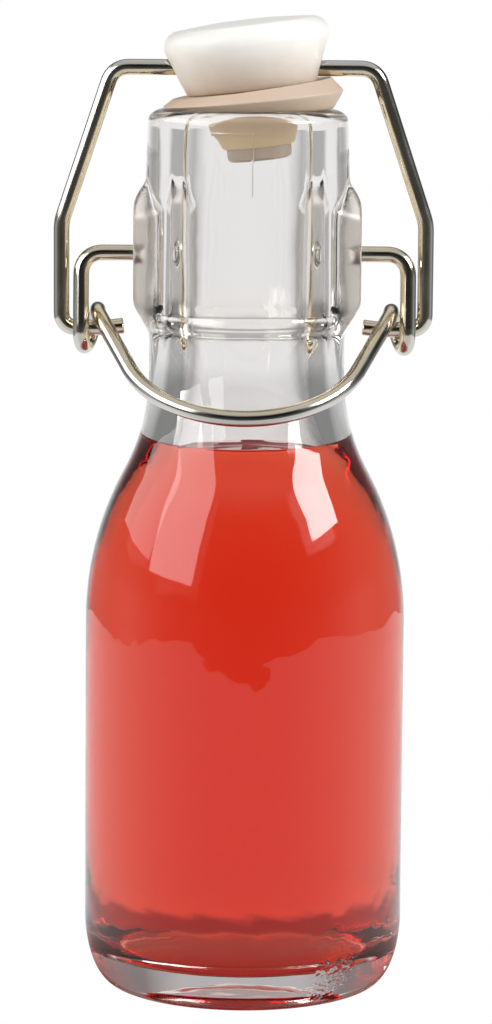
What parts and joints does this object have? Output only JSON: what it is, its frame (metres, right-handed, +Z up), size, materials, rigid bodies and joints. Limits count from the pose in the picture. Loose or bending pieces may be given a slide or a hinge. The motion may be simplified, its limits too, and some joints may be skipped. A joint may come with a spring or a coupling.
{
  "type": "swing-top bottle of red drink",
  "caption": "Small clear glass bottle of red drink, shut by a white stopper with a rubber washer on a wire bail and lever.",
  "frame": {"origin": "middle of the object's box in plan, at the surface on which the bottle stands", "axes": "+Z up along the bottle, -Y towards the side on which the lever's handle hangs, +X from lug to lug"},
  "size_m": [0.0453, 0.0384, 0.1169],
  "materials": {
    "clear_glass": "clear, smooth moulded glass",
    "red_drink": "clear red liquid",
    "plated_wire": "bright plated steel wire with a yellowish tint",
    "white_plastic": "smooth off-white plastic",
    "beige_rubber": "smooth soft rubber"
  },
  "bodies": {
    "bottle": {"glass_bottle": "clear_glass", "drink": "red_drink"},
    "lever": {"lever_wire": "plated_wire"},
    "bail": {"bail_wire": "plated_wire"},
    "stopper": {"stopper_head": "white_plastic", "stopper_gasket": "beige_rubber"}
  },
  "joints": [
    {"name": "lever_swing", "type": "hinge", "parent": "bottle", "child": "lever", "pos_m": [0, 0, 0.0886], "axis": [1, 0, 0], "range_deg": [-140, 0]},
    {"name": "bail_swing", "type": "hinge", "parent": "lever", "child": "bail", "pos_m": [0, 0.001, 0.0795], "axis": [1, 0, 0], "range_deg": [0, 102]},
    {"name": "stopper_swing", "type": "hinge", "parent": "bail", "child": "stopper", "pos_m": [0, 0, 0.11065], "axis": [1, 0, 0], "range_deg": [0, 27]}
  ],
  "couplings": [
    {"joint": "bail_swing", "follows": "lever_swing", "ratio": -0.725},
    {"joint": "stopper_swing", "follows": "lever_swing", "ratio": -0.19}
  ]
}
